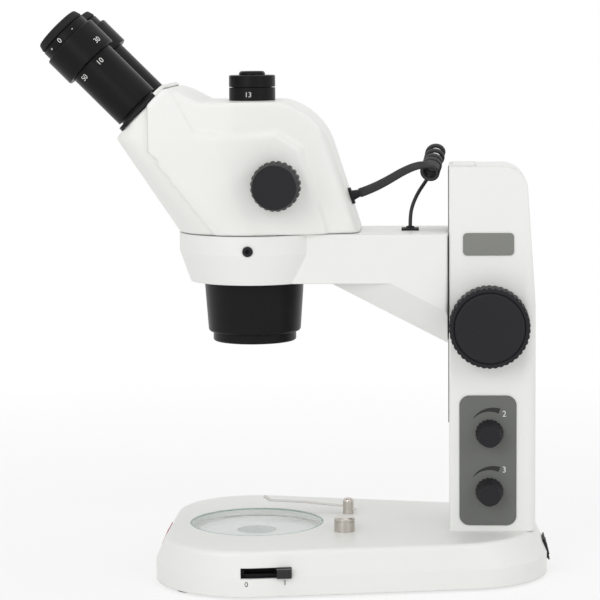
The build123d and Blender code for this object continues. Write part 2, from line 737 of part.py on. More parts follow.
def zoom_knob(name, side):
    """Fluted knob: straight at the back, tapered towards its flat face."""
    with BuildPart(across(ZOOM_X, ZOOM_Z, side)) as knob:
        disc(0, 0, 52, 63, ZOOM_R)
        cone(0, 0, 63, 73, ZOOM_R, 15)
        with PolarLocations(ZOOM_R + 0.5, 24):
            with Locations((0, 0, 51)):
                Cylinder(1.4, 23, align=BASE_ALIGN, mode=Mode.SUBTRACT)
        disc(0, 0, 52, 66, 3, Mode.SUBTRACT)
    save(name, knob)


zoom_knob("zoom_knob_near", -1)
zoom_knob("zoom_knob_far", 1)


# Eye tubes and eyepieces, one set each side
def eye_set(word, side):
    x = side * EYE_Y
    with BuildPart(EYE) as tube:
        disc(side * PIVOT_Y, PIVOT_S, -7, -2.6, 17.3)
        disc(side * PIVOT_Y, PIVOT_S, -8.5, -5.7, 18.4)
        disc(x, 0, -2.6, 0, 15)
        disc(x, 0, 0, TUBE_L, TUBE_R)
        disc(x, 0, -9, 4, 11, Mode.SUBTRACT)
        disc(x, 0, 4, TUBE_L, EYEPIECE_R + RUNNING, Mode.SUBTRACT)
    save(f"eye_tube_{word}", tube)
    with BuildPart(EYE) as barrel:
        disc(x, 0, TUBE_L, BARREL_TOP, BARREL_R)
        fillet(edges().filter_by(GeomType.CIRCLE), 1)
        disc(x, 0, 14, TUBE_L, EYEPIECE_R)
        disc(x, 0, BARREL_TOP, 71.4, 15.5)
        disc(x, 0, 14, 71.4, 11.5, Mode.SUBTRACT)
    save(f"eyepiece_{word}", barrel)
    with BuildPart(EYE) as lens:
        disc(x, 0, 65, 70.4, 11.5)
    save(f"eye_lens_{word}", lens)
    with BuildPart(EYE) as dial:
        disc(x, 0, 65.2, 71, 18.5)
        disc(x, 0, 65.2, 71, 15.5 + RUNNING, Mode.SUBTRACT)
    save(f"dioptre_dial_{word}", dial)
    with BuildPart(EYE) as cup:
        cone(x, 0, 71.4, 77.5, 18.8, 17)
        fillet(edges().filter_by(GeomType.CIRCLE), 1.5)
        disc(x, 0, 71.4, 77.5, 12.5, Mode.SUBTRACT)
    save(f"eyecup_{word}", cup)


eye_set("near", 1)
eye_set("far", -1)

# Coiled cable from the head to the arm
CABLE_R = 2.2
GLAND = Plane(origin=(37.7, 0, 267.3), x_dir=(0, 1, 0), z_dir=(0.951, 0, 0.3095))
with BuildPart(GLAND) as cord_gland:
    disc(0, 0, 0, 2, 6)
    cone(0, 0, 2, 7, 3.6, 2.6)
save("cord_gland", cord_gland)

coil_start = Vector(93.5, -12, 283.5)
coil_end = Vector(98.4, 22, 297)
coil_line = (coil_end - coil_start).normalized()
with BuildPart() as cord_coil:
    with BuildSketch(Plane(origin=coil_start, z_dir=coil_line)):
        Circle(7.25)
    extrude(amount=(coil_end - coil_start).length)
save("cord_coil", cord_coil)


def cable(name, points):
    """Round cable along straight runs joined by the widest arcs they allow."""
    points = [Vector(*p) for p in points]
    runs = [b - a for a, b in zip(points, points[1:])]
    radii = []
    for a, b in zip(runs, runs[1:]):
        turn = acos(a.normalized().dot(b.normalized()))
        radii.append(0.45 * min(a.length, b.length) / tan(turn / 2))
    with BuildPart() as piece:
        with BuildLine() as path:
            FilletPolyline(*points, radius=radii)
        with BuildSketch(Plane(origin=points[0], z_dir=runs[0])):
            Circle(CABLE_R)
        sweep()
    print(name, [round(r, 1) for r in radii], "volume", round(piece.part.volume))
    print("  section x length", round(pi * CABLE_R**2 * path.wires()[0].length))
    save(name, piece)


gland_tip = (37.7 + 7 * 0.951, 0, 267.3 + 7 * 0.3095)
cable("cord_upper", [gland_tip, (55, 0, 273.05), (72, -4, 279.5), (94.2, -8.5, 285.0)])
cable(
    "cord_lower",
    [(98.0, 19.1, 295.8), (86, 22, 285), (80.3, 11, 272), (79.9, 0, 259), (79.9, 0, 246)],
)

with BuildPart() as cord_grommet:
    block((73.9, 85.9), (-6, 6), (ARM_TOP, ARM_TOP + 1.6))
    disc(79.9, 0, ARM_TOP - 4.5, ARM_TOP, 3.5)
    cone(79.9, 0, ARM_TOP + 1.6, 246, 3.4, 2.6)
save("cord_grommet", cord_grommet)
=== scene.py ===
# %% [markdown]
# A stereo microscope on a lit base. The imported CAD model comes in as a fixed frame: every
# solid is already in its place, in metres. This lesson gives each piece its finish, and adds
# what is easier to make here than in CAD: the coiled cable, the soft steps of the head's
# casting, the printed marks and the numbers on the tubes.

# %% Load the frame
from math import asin, cos, pi, radians, sin

import bmesh
import bpy
from mathutils import Matrix, Vector


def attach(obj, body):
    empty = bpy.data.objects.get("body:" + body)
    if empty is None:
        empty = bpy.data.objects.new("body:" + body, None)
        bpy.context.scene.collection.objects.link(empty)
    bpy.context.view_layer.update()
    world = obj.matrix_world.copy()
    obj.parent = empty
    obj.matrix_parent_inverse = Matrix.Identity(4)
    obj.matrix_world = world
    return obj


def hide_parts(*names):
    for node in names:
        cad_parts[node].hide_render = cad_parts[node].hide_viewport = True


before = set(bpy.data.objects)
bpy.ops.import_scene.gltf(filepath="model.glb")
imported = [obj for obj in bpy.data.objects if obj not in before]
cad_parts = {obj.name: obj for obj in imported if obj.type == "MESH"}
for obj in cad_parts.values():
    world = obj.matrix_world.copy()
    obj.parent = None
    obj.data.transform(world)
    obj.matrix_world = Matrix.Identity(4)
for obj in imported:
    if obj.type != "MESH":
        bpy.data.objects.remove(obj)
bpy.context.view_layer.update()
MM = 0.001

# %% [markdown]
# The photograph was taken with a long lens from the side of the controls, a little above
# the stage. The camera's place was worked out from the round stage plate, the tubes and the
# edges of the arm and pillar. A constraint could aim it at the object, but the camera is
# also turned by half a degree around its own line of sight, so its three axes are written
# as a matrix.

# %% Camera
LENS_PX = 2341.596
IMAGE_PX = 600
SENSOR_WIDE = 36
CAMERA_AT = Vector((110.108, -1650.0, 388.37)) * MM
YAW, PITCH, ROLL = -0.06578, 0.11735, -0.00907
view = Vector((sin(YAW) * cos(PITCH), cos(YAW) * cos(PITCH), -sin(PITCH)))
level = Vector((cos(YAW), -sin(YAW), 0))
upright = level.cross(view)
across = cos(ROLL) * level + sin(ROLL) * upright
up = -sin(ROLL) * level + cos(ROLL) * upright
lens = bpy.data.cameras.new("camera")
lens.sensor_width = SENSOR_WIDE
lens.lens = SENSOR_WIDE * LENS_PX / IMAGE_PX
camera = bpy.data.objects.new("camera", lens)
turn = Matrix((across, up, -view)).transposed()
camera.matrix_world = Matrix.Translation(CAMERA_AT) @ turn.to_4x4()
bpy.context.scene.collection.objects.link(camera)
bpy.context.scene.camera = camera
print("lens", round(lens.lens, 1), "mm")

# %% [markdown]
# The cable between head and arm is a flat ribbon wound into a tight coil. A Screw modifier
# could wind it, but then all turns are alike, and the real ones open and sway towards the
# far end. So the route is a list of points: a few up from the head, twelve for each turn of
# the coil, and a few down to the arm. The turns are points on a circle that moves along the
# coil's axis, so they come from a loop.

# %% Route of the coiled cable
RIBBON_WIDE = 5.4 * MM
COIL_START = Vector((93.5, -12.0, 283.5)) * MM
COIL_END = Vector((98.6, 24.0, 299.0)) * MM
COIL_R = 5.9 * MM
COIL_SWAY = 0.5 * MM
SWAY_DRIFT = 3
COIL_OPENING = 1.35
TURN_POINTS = 12
TURNS = 5.5
RISE_MM = (
    (44.36, 0, 269.47),
    (53, -1, 272.6),
    (64, -3.5, 278.3),
    (75, -6.5, 285.0),
    (85, -9.3, 289.4),
)
FALL_MM = (
    (97, 19, 285.5),
    (91, 13, 277),
    (85.3, 8, 269),
    (81.4, 4, 260.5),
    (79.9, 1, 253),
    (79.9, 0, 246),
)
coil_axis = (COIL_END - COIL_START).normalized()
coil_right = coil_axis.cross(Vector((0, 0, 1))).normalized()
coil_up = coil_right.cross(coil_axis)
coil_length = (COIL_END - COIL_START).length
steps = int(TURNS * TURN_POINTS)
coil_points = []
for step in range(steps + 1):
    angle = pi / 2 - 2 * pi * step / TURN_POINTS
    opened = (step / steps) ** COIL_OPENING
    along = RIBBON_WIDE / 2 + (coil_length - RIBBON_WIDE) * opened
    sway = COIL_SWAY * sin(angle / 2 + SWAY_DRIFT * opened)
    ring = coil_right * cos(angle) + coil_up * sin(angle)
    coil_points.append(COIL_START + coil_axis * along + ring * (COIL_R + sway * opened))
rise = [Vector(p) * MM for p in RISE_MM]
fall = [Vector(p) * MM for p in FALL_MM]
print(len(rise), "points up,", len(coil_points), "in the coil,", len(fall), "down")

# %% [markdown]
# The points are the control points of one NURBS spline of order 3, which passes near them
# without any corner. Blender turns such a curve into short edges when it makes a mesh of
# it. Their ends are the places that the ribbon is swept along, and their lengths add up to
# the length of the cable.

# %% Places along the route
def link(name, data):
    """New object in the scene."""
    piece = bpy.data.objects.new(name, data)
    bpy.context.scene.collection.objects.link(piece)
    return piece


def smooth_line(name, points):
    """Places along an open NURBS spline with the points as its control points."""
    curve = bpy.data.curves.new(name, "CURVE")
    curve.dimensions = "3D"
    curve.resolution_u = 4
    spline = curve.splines.new("NURBS")
    spline.points.add(len(points) - 1)
    for knot, point in zip(spline.points, points):
        knot.co = (*point, 1)
    spline.order_u = 3
    spline.use_endpoint_u = True
    line = link(name, curve)
    mesh = bpy.data.meshes.new_from_object(line)
    places = [v.co.copy() for v in mesh.vertices]
    bpy.data.objects.remove(line)
    return places


cable_line = smooth_line("cable_line", rise + coil_points + fall)

# %% [markdown]
# A curve's own bevel would keep one width and twist. This ribbon gets narrower on its way
# and turns over, so its skin is made with bmesh: a rounded rectangle at every place, and
# four-sided faces between neighbours.

# %% Cross-section of the ribbon
RIBBON_THICK = 2.6 * MM
CORNER_SHARE = 0.42


def ribbon_section(wide, thick, round_steps=4):
    """Rounded rectangle as a list of (across, through) pairs."""
    radius = thick * CORNER_SHARE
    pairs = []
    for quarter in range(4):
        sx = 1 if quarter in (0, 3) else -1
        sy = 1 if quarter in (0, 1) else -1
        for step in range(round_steps + 1):
            angle = pi / 2 * (quarter + step / round_steps)
            pairs.append((
                sx * (wide / 2 - radius) + radius * cos(angle),
                sy * (thick / 2 - radius) + radius * sin(angle),
            ))
    return pairs


print(len(ribbon_section(RIBBON_WIDE, RIBBON_THICK)), "points round the ribbon")

# %% [markdown]
# The sweep needs three directions at each place: forward along the line, to the side where
# the ribbon is wide, and through it where it is thin. The side comes from a function and is
# made square to the line here, so that function may be rough.

# %% Sweep along the line
def sweep_ribbon(name, line, wide_way, width_at, thick):
    """Closed skin over the cross-section as it is carried along the line."""
    mesh = bmesh.new()
    rings = []
    for index, place in enumerate(line):
        before = line[max(index - 1, 0)]
        after = line[min(index + 1, len(line) - 1)]
        forward = (after - before).normalized()
        side = wide_way(index, forward)
        side = (side - forward * side.dot(forward)).normalized()
        through = forward.cross(side)
        section = ribbon_section(width_at(index), thick)
        rings.append([mesh.verts.new(place + side * a + through * b) for a, b in section])
    for low, high in zip(rings, rings[1:]):
        for i in range(len(section)):
            j = (i + 1) % len(section)
            mesh.faces.new((low[i], low[j], high[j], high[i]))
    mesh.faces.new(list(reversed(rings[0])))
    mesh.faces.new(rings[-1])
    bmesh.ops.recalc_face_normals(mesh, faces=mesh.faces)
    data = bpy.data.meshes.new(name)
    mesh.to_mesh(data)
    mesh.free()
    return link(name, data)


# %% [markdown]
# Around the coil the ribbon's wide side lies along the coil's axis. On the way up from the
# head it faces the side of the controls, and on the way down to the arm it turns its edge
# there. The directions are mixed over some places before and after the coil, so the ribbon
# twists gently, as the real one does.

# %% Twist and width of the ribbon
all_points = len(rise) + len(coil_points) + len(fall)
RISE_SHARE = len(rise) / all_points
FALL_SHARE = 1 - len(fall) / all_points
TWIST_FROM, TWIST_TO = RISE_SHARE * 0.6, RISE_SHARE * 1.1
UNTWIST_SHARE = 0.03
NARROWED_SHARE = 0.7
HEAD_END_MM = 6.6
NARROWER_IN_RISE_MM = 1.5
NARROWER_IN_COIL_MM = 1.6


def between(low, high, value):
    """0 below low, 1 above high, straight in between."""
    return min(max((value - low) / (high - low), 0), 1)


def flat_side(index, forward):
    """Direction of the ribbon's wide side at a place on its line."""
    share = index / (len(cable_line) - 1)
    upright_side = Vector((-forward.z, 0, abs(forward.x)))
    in_coil = between(TWIST_FROM, TWIST_TO, share)
    past_coil = between(FALL_SHARE, FALL_SHARE + UNTWIST_SHARE, share)
    side = upright_side * (1 - in_coil) + coil_axis * in_coil
    return side * (1 - past_coil) + Vector((0, 1, 0)) * past_coil


def ribbon_width(index):
    """The ribbon gets narrower from the head to the coil, and along the coil."""
    share = index / (len(cable_line) - 1)
    narrowed = NARROWER_IN_RISE_MM * between(0, RISE_SHARE, share)
    narrowed += NARROWER_IN_COIL_MM * between(RISE_SHARE, NARROWED_SHARE, share)
    return (HEAD_END_MM - narrowed) * MM


widths = [round(ribbon_width(i) / MM, 1) for i in (0, len(cable_line) - 1)]
print("the ribbon is", widths[0], "mm wide at the head and", widths[1], "at the arm")

# %% [markdown]
# The swept mesh stands for the three plain solids of the cable, which are hidden. It runs from the
# gland on the head to the grommet on the arm, and moves with the arm.

# %% The coiled cable
def shade_smooth(piece, crease=35):
    """Smooth shading that keeps edges sharper than the crease angle."""
    for face in piece.data.polygons:
        face.use_smooth = True
    piece.data.set_sharp_from_angle(angle=radians(crease))


cable = sweep_ribbon("coiled_cable", cable_line, flat_side, ribbon_width, RIBBON_THICK)
shade_smooth(cable)
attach(cable, "arm")
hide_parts("cord_upper", "cord_coil", "cord_lower")
print("coiled cable:", len(cable.data.polygons), "faces")

# %% [markdown]
# Every finish below is a small sum of noises and masks. The class wraps a socket, so that
# a mask can be written as plain Python: each sign adds its Math node.

# %% Sockets that can be added and multiplied
class Wire:
    """An output socket that can stand in a Python expression."""

    def __init__(self, finish, socket):
        self.finish = finish
        self.socket = socket

    def math(self, operation, first, second=0.0, clamped=False):
        settings = {"operation": operation, "use_clamp": clamped}
        return self.finish.node("ShaderNodeMath", settings, {0: first, 1: second})

    def clamp(self):
        return self.math("ADD", self, 0.0, clamped=True)

    def __add__(self, other):
        return self.math("ADD", self, other)

    def __sub__(self, other):
        return self.math("SUBTRACT", self, other)

    def __rsub__(self, other):
        return self.math("SUBTRACT", other, self)

    def __mul__(self, other):
        return self.math("MULTIPLY", self, other)

    def __truediv__(self, other):
        return self.math("DIVIDE", self, other)

    def __pow__(self, other):
        return self.math("POWER", self, other)

    def __gt__(self, other):
        return self.math("GREATER_THAN", self, other)

    __radd__ = __add__
    __rmul__ = __mul__


# %% [markdown]
# The second class is one material. Any node comes from one method, which takes the node's
# type, its settings and what its sockets get. A number that is the same all over a surface
# goes on the shader's own socket, and a Wire is linked to it.

# %% A material that grows by calls
class Finish:
    """A material whose nodes are added one call at a time."""

    def __init__(self, name):
        self.material = bpy.data.materials.new(name)
        self.material.use_nodes = True
        self.tree = self.material.node_tree
        self.shader = self.tree.nodes["Principled BSDF"]

    def node(self, kind, settings=None, sockets=None, out=0):
        new = self.tree.nodes.new(kind)
        for key, value in (settings or {}).items():
            setattr(new, key, value)
        for key, value in (sockets or {}).items():
            self.feed(new.inputs[key], value)
        return Wire(self, new.outputs[out])

    def feed(self, socket, value):
        """Links a wire to the socket, or writes a value on it."""
        if isinstance(value, Wire):
            self.tree.links.new(value.socket, socket)
        else:
            socket.default_value = value

    def put(self, **values):
        """Sets sockets of the Principled shader: base_color=..., roughness=..."""
        for key, value in values.items():
            words = key.replace("_", " ").title().replace("Ior", "IOR")
            self.feed(self.shader.inputs[words], value)

    def place(self):
        return self.node("ShaderNodeTexCoord", out="Object")

    def parts(self):
        """X, Y and Z of the place as three values."""
        split = self.node("ShaderNodeSeparateXYZ", sockets={0: self.place()})
        outputs = split.socket.node.outputs
        return [Wire(self, outputs[i]) for i in range(3)]

    def noise(self, scale, detail, roughness=0.5):
        """Cloudy grey values; scale is in clouds per metre."""
        sockets = {
            "Vector": self.place(),
            "Scale": scale,
            "Detail": detail,
            "Roughness": roughness,
        }
        return self.node("ShaderNodeTexNoise", sockets=sockets)

    def mix(self, factor, first, second):
        settings = {"data_type": "RGBA"}
        return self.node("ShaderNodeMix", settings, {0: factor, 6: first, 7: second}, out=2)

    def bump(self, height, strength, distance, edge):
        """Bump over softened edges; edge is the radius of the softening."""
        soft_edge = self.node("ShaderNodeBevel", {"samples": 6}, {"Radius": edge})
        sockets = {
            "Height": height,
            "Strength": strength,
            "Distance": distance,
            "Normal": soft_edge,
        }
        return self.node("ShaderNodeBump", sockets=sockets)


# %% [markdown]
# Three helpers are needed by every finish: a colour from three tones, the same colour made
# lighter or darker, and the call that puts a material on solids or pieces by name.

# %% Colours, and giving a finish
def colour(red, green, blue):
    return (red, green, blue, 1.0)


def shaded(tone, share):
    """The tone times a share, as a colour."""
    return colour(*[part * share for part in tone])


def give(material, *names):
    for name in names:
        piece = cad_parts.get(name) or bpy.data.objects[name]
        piece.data.materials.clear()
        piece.data.materials.append(material)


# %% [markdown]
# The cast parts wear a satin off-white enamel. Up close such paint has a very fine orange
# peel, slow changes of tone where it flowed, and edges that are never quite sharp. A Bevel
# node rounds the shading of the edges without touching the solids.

# %% White enamel
HEAD_TONE = (0.86, 0.866, 0.838)


def enamel(name, tone, rough):
    finish = Finish(name)
    flow = finish.noise(14.0, 2.0)
    peel = finish.noise(900.0, 2.0)
    speck = finish.noise(2600.0, 1.0)
    darker = colour(tone[0] * 0.955, tone[1] * 0.955, tone[2] * 0.945)
    finish.put(
        base_color=finish.mix(flow * 0.8 + speck * 0.2, colour(*tone), darker),
        roughness=flow * 0.1 + peel * 0.06 + rough,
        normal=finish.bump(peel * 0.7 + speck * 0.3, 0.12, 0.4 * MM, edge=1.1 * MM),
    )
    return finish.material


white = enamel("white_enamel", (0.86, 0.866, 0.845), 0.3)
white_head = enamel("white_enamel_head", HEAD_TONE, 0.26)
give(white, "base_housing", "pillar_housing", "focus_arm")
print("enamel on base, pillar and arm")

# %% [markdown]
# The head is a casting: its raised side panels run into the body over soft, rounded steps,
# which a Bevel node can't give, because it only turns the shading. So a copy of the head's
# mesh is rebuilt from small even cells and relaxed, and stands in for the sharp one.

# %% Softened head casting
WELD = 0.001 * MM


def soft_casting(name, node, cell, relax, kept):
    """Copy of a node's mesh with rounded edges and steps."""
    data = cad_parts[node].data.copy()
    welded = bmesh.new()
    welded.from_mesh(data)
    bmesh.ops.remove_doubles(welded, verts=welded.verts, dist=WELD)
    welded.to_mesh(data)
    welded.free()
    piece = link(name, data)
    cells = piece.modifiers.new("cells", "REMESH")
    cells.mode = "VOXEL"
    cells.voxel_size = cell
    relaxed = piece.modifiers.new("relaxed", "SMOOTH")
    relaxed.factor = 0.5
    relaxed.iterations = relax
    thinned = piece.modifiers.new("thinned", "DECIMATE")
    thinned.ratio = kept
    graph = bpy.context.evaluated_depsgraph_get()
    result = bpy.data.meshes.new_from_object(piece.evaluated_get(graph))
    piece.modifiers.clear()
    piece.data = result
    for face in result.polygons:
        face.use_smooth = True
    return piece


head = soft_casting("head_casting", "head_housing", cell=1.1 * MM, relax=9, kept=0.4)
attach(head, "arm")
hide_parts("head_housing")
give(white_head, "head_casting")
print("head casting:", len(head.data.polygons), "faces")

# %% [markdown]
# Black parts differ more in gloss than in colour. The tubes are anodised and smooth, the
# knobs are moulded with a fine grain, the eyecups are soft rubber, and the lever is glossy.
# One recipe with a roughness, a grain and its depth, a shine and an edge gives all of them.

# %% Blacks
def black(name, tone, rough, grain, depth, shine=0.22, edge=0.6 * MM):
    finish = Finish(name)
    cloud = finish.noise(35.0, 2.0)
    fine = finish.noise(grain, 2.0, 0.6)
    finish.put(
        base_color=finish.mix(cloud * 0.7 + fine * 0.3, colour(*tone), shaded(tone, 1.55)),
        roughness=cloud * 0.1 + fine * 0.08 + rough,
        specular_ior_level=shine,
        normal=finish.bump(fine, depth, 0.3 * MM, edge=edge),
    )
    return finish.material


tube_black = black("anodised_black", (0.0055, 0.0055, 0.006), 0.24, 1400, 0.05, 0.13)
knob_black = black("knob_black", (0.014, 0.0135, 0.0155), 0.42, 2400, 0.25, 0.16)
cup_rubber = black("eyecup_rubber", (0.009, 0.009, 0.0095), 0.6, 3000, 0.3, edge=1.2 * MM)
lever_gloss = black("lever_gloss", (0.009, 0.009, 0.0095), 0.12, 1200, 0.04, 0.4)
cable_black = black("cable_black", (0.02, 0.0195, 0.021), 0.4, 1800, 0.12, 0.35)
give(tube_black, "eye_tube_near", "eye_tube_far", "eyepiece_near", "eyepiece_far")
give(tube_black, "photo_tube", "photo_cap", "nose_cone", "nose_ring")
give(tube_black, "dioptre_dial_near", "dioptre_dial_far")
give(knob_black, "zoom_knob_near", "zoom_knob_far", "focus_knob_near", "focus_knob_far")
give(knob_black, "light_knob_lower", "light_knob_upper", "clamp_screw", "cord_gland")
give(knob_black, "lever_switch", "switch_frame", "power_jack", "cord_grommet")
give(cup_rubber, "eyecup_near", "eyecup_far", "base_feet")
give(lever_gloss, "light_lever", "power_rocker")
give(cable_black, "coiled_cable")
print("five blacks, from rubber to gloss")

# %% [markdown]
# The badge is a plain red inlay, the strips and the lamp board are thin plates, and the
# dimmer panel is screen-printed in a warm grey. All of them have a fine, even grain. An
# image could carry it, but a noise has no seams and stays fine at any distance.

# %% Printed plates
def even_grain(finish, tone, lighter, rough):
    """Fine grain over slow changes between two colours or wires."""
    cloud = finish.noise(30.0, 3.0)
    fine = finish.noise(3200.0, 1.0)
    finish.put(
        base_color=finish.mix(cloud, tone, lighter),
        roughness=fine * 0.12 + rough,
        normal=finish.bump(fine, 0.1, 0.2 * MM, edge=0.3 * MM),
    )
    return finish.material


def plate(name, tone, rough):
    return even_grain(Finish(name), colour(*tone), shaded(tone, 1.08), rough)


give(plate("strip_grey", (0.1, 0.1, 0.095), 0.45), "slide_strip", "dimmer_pots")
give(plate("badge_red", (0.40, 0.055, 0.065), 0.3), "front_badge")
give(plate("board_green", (0.03, 0.16, 0.07), 0.35), "lamp_board")
print("strips, badge and lamp board")

# %% [markdown]
# Two solids carry two finishes each. The dimmer panel and the small plate above it are one
# node in two greys, told apart by their height. The plate that the eye tubes stand on is
# black round the tubes, and its upper strip belongs to the white housing: a second mask
# measures how far a place lies up the plate's slope of 45 degrees.

# %% Panel and eye plate
BETWEEN_PLATES = 150 * MM
TUBE_FOOT_X, TUBE_FOOT_Z = 109 * MM, 332.15 * MM
ALONG_45 = 0.7071
STRIP_START = 17.2 * MM


def panel_grey():
    """Darker on the dimmer panel than on the small plate above it."""
    finish = Finish("panel_grey")
    upper = finish.parts()[2] > BETWEEN_PLATES
    tone = finish.mix(upper, colour(0.125, 0.13, 0.121), colour(0.2, 0.205, 0.187))
    lighter = finish.mix(upper, colour(0.135, 0.14, 0.13), colour(0.215, 0.22, 0.2))
    return even_grain(finish, tone, lighter, 0.45)


def eye_plate_finish():
    """Black round the tubes, and enamel on the strip that meets the housing's top."""
    finish = Finish("eye_plate_finish")
    x, _, z = finish.parts()
    up_slope = ((x + TUBE_FOOT_X) + (z - TUBE_FOOT_Z)) * ALONG_45
    fine = finish.noise(1400.0, 2.0)
    black_tone = finish.mix(fine, colour(0.006, 0.006, 0.0065), colour(0.009, 0.009, 0.0095))
    white_tone = finish.mix(fine, colour(*HEAD_TONE), colour(0.82, 0.826, 0.8))
    finish.put(
        base_color=finish.mix(up_slope > STRIP_START, black_tone, white_tone),
        roughness=fine * 0.08 + 0.3,
        specular_ior_level=0.2,
        normal=finish.bump(fine, 0.05, 0.3 * MM, edge=0.6 * MM),
    )
    return finish.material


give(eye_plate_finish(), "eye_plate")
give(panel_grey(), "face_plates")
print("two greys on the panel, black and enamel on the eye plate")

# %% [markdown]
# Turned and drawn metal shows fine lines along the way it was cut. Squeezing a noise by
# sixty along one or two axes makes such lines, for roughness and bump alike.

# %% Metals
TURNED = (1, 1, 60)
DRAWN = (60, 60, 1)


def metal(name, tone, rough, stretch):
    finish = Finish(name)
    settings = {"operation": "MULTIPLY"}
    stretched = finish.node("ShaderNodeVectorMath", settings, {0: finish.place(), 1: stretch})
    sockets = {"Vector": stretched, "Scale": 60.0, "Detail": 3.0}
    lines = finish.node("ShaderNodeTexNoise", sockets=sockets)
    cloud = finish.noise(25.0, 2.0)
    finish.put(
        base_color=finish.mix(cloud, colour(*tone), shaded(tone, 0.8)),
        metallic=1.0,
        roughness=lines * 0.22 + rough,
        normal=finish.bump(lines, 0.08, 0.2 * MM, edge=0.4 * MM),
    )
    return finish.material


steel = metal("turned_steel", (0.62, 0.58, 0.53), 0.2, TURNED)
drawn_steel = metal("drawn_steel", (0.6, 0.58, 0.55), 0.22, DRAWN)
brass = metal("machined_brass", (0.72, 0.52, 0.22), 0.24, TURNED)
aluminium = metal("turned_aluminium", (0.75, 0.75, 0.76), 0.25, TURNED)
give(steel, "clip_stud", "clip_post", "stand_screws", "arm_screws", "focus_shaft", "zoom_shaft")
give(drawn_steel, "clip_spring", "base_plate", "guide_rails", "arm_slide")
give(brass, "focus_rack", "shaft_bushes")
give(aluminium, "zoom_barrels")
print("four metals")

# %% [markdown]
# The stage plate is clear glass with the green edge that thick plate glass has. True
# refraction would be noisy, and the light has to reach the pan below. So the plate is a
# thin, mostly transparent gloss. Its rim is found by distance from the axis and by height,
# and is greener and denser.

# %% Glass
STAGE_X = -31 * MM
STAGE_R = 47.5 * MM
STAGE_TOP = 33 * MM
RIM_WIDE = 0.9 * MM
RIM_DEEP = 1.2 * MM
NO_RIM = 1.0


def clear_glass(name, tint, rim_tint, alpha, rim_alpha, rim_start, rim_low=0.0):
    finish = Finish(name)
    x, y, z = finish.parts()
    radius = ((x - STAGE_X) ** 2 + y**2) ** 0.5
    rim = (radius > rim_start) * (z > rim_low)
    smear = finish.noise(60.0, 2.0)
    finish.put(
        base_color=finish.mix(rim, colour(*tint), colour(*rim_tint)),
        roughness=smear * 0.05 + 0.02,
        alpha=rim * (rim_alpha - alpha) + alpha,
        normal=finish.bump(smear, 0.03, 0.2 * MM, edge=0.4 * MM),
    )
    return finish.material


stage_glass = clear_glass(
    "stage_glass",
    (0.9, 0.94, 0.93),
    (0.26, 0.45, 0.4),
    0.16,
    0.7,
    rim_start=STAGE_R - RIM_WIDE,
    rim_low=STAGE_TOP - RIM_DEEP,
)
lens_glass = clear_glass("lens_glass", (0.35, 0.4, 0.5), (0.1, 0.1, 0.12), 0.55, 0.55, NO_RIM)
window_glass = clear_glass("window_glass", (0.5, 0.56, 0.54), (0.3, 0.3, 0.3), 0.9, 0.9, NO_RIM)
give(stage_glass, "stage_plate")
give(lens_glass, "objective_glass", "eye_lens_near", "eye_lens_far", "erecting_prisms")
give(window_glass, "light_window")
print("glass on the stage, the lenses and the lamp's window")

# %% [markdown]
# The pan under the glass is a pale matte reflector, so the enamel's recipe serves it with a
# higher roughness.

# %% Light pan
give(enamel("pan_white", (0.95, 0.96, 0.955), 0.5), "light_pan")
print("pale pan under the glass")

# %% [markdown]
# Printed marks are thin solids that stand a few hundredths of a millimetre proud. A mask
# in the material could draw them too, but solids stay sharp from any side and keep the
# panel's own finish simple. First comes the print itself, in white and black.

# %% Text as thin solids
TEXT_DEPTH = 0.04 * MM
print_white = plate("print_white", (0.8, 0.8, 0.78), 0.5)
print_dark = plate("print_dark", (0.012, 0.012, 0.012), 0.5)
facing_user = Matrix.Rotation(pi / 2, 4, "X")


def printed_text(name, text, size, place, turn, body, material):
    """Digits centred on a place, in the plane that the turn gives; sizes in metres."""
    curve = bpy.data.curves.new(name, "FONT")
    curve.body = text
    curve.size = size
    curve.align_x = "CENTER"
    curve.align_y = "CENTER"
    curve.extrude = TEXT_DEPTH
    piece = link(name, curve)
    piece.matrix_world = Matrix.Translation(place) @ turn
    piece.data.materials.append(material)
    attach(piece, body)


# %% [markdown]
# Each dimmer has a wedge that grows with the brightness, and a plain digit. The wedge is an
# arc between two radii, the outer one growing from point to point. A Solidify modifier
# gives it its thickness.

# %% Wedges over the dimmers
PANEL_FACE = -30.8 * MM
KNOB_X = 135.3 * MM
PRINT_PROUD = 0.1 * MM
PRINT_THICK = 0.08 * MM
WEDGE_R = 15.2 * MM
WEDGE_STEPS = 16
WEDGE_FROM, WEDGE_TURN = 138, 72
WEDGE_THIN_MM, WEDGE_GROWS_MM = 0.3, 3.5


def wedge(name, centre_x, centre_z):
    """Arc that widens clockwise above a dimmer knob."""
    mesh = bmesh.new()
    inner = []
    outer = []
    for step in range(WEDGE_STEPS + 1):
        share = step / WEDGE_STEPS
        angle = radians(WEDGE_FROM - WEDGE_TURN * share)
        thick = (WEDGE_THIN_MM + WEDGE_GROWS_MM * share) * MM
        for row, radius in ((inner, WEDGE_R), (outer, WEDGE_R + thick)):
            x = centre_x + radius * cos(angle)
            z = centre_z + radius * sin(angle)
            row.append(mesh.verts.new((x, PANEL_FACE - PRINT_PROUD, z)))
    for step in range(WEDGE_STEPS):
        mesh.faces.new((inner[step], inner[step + 1], outer[step + 1], outer[step]))
    data = bpy.data.meshes.new(name)
    mesh.to_mesh(data)
    mesh.free()
    piece = link(name, data)
    thickness = piece.modifiers.new("thickness", "SOLIDIFY")
    thickness.thickness = PRINT_THICK
    piece.data.materials.append(print_dark)
    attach(piece, "stand")


wedge("wedge_upper", KNOB_X, 103.2 * MM)
wedge("wedge_lower", KNOB_X, 61.8 * MM)
print("two wedges of", WEDGE_STEPS, "faces each")

# %% [markdown]
# The digits beside the wedges stand on the flat panel. The base is curved where the lever
# slides, so the 1 at its right end is turned a little to lie along the wall.

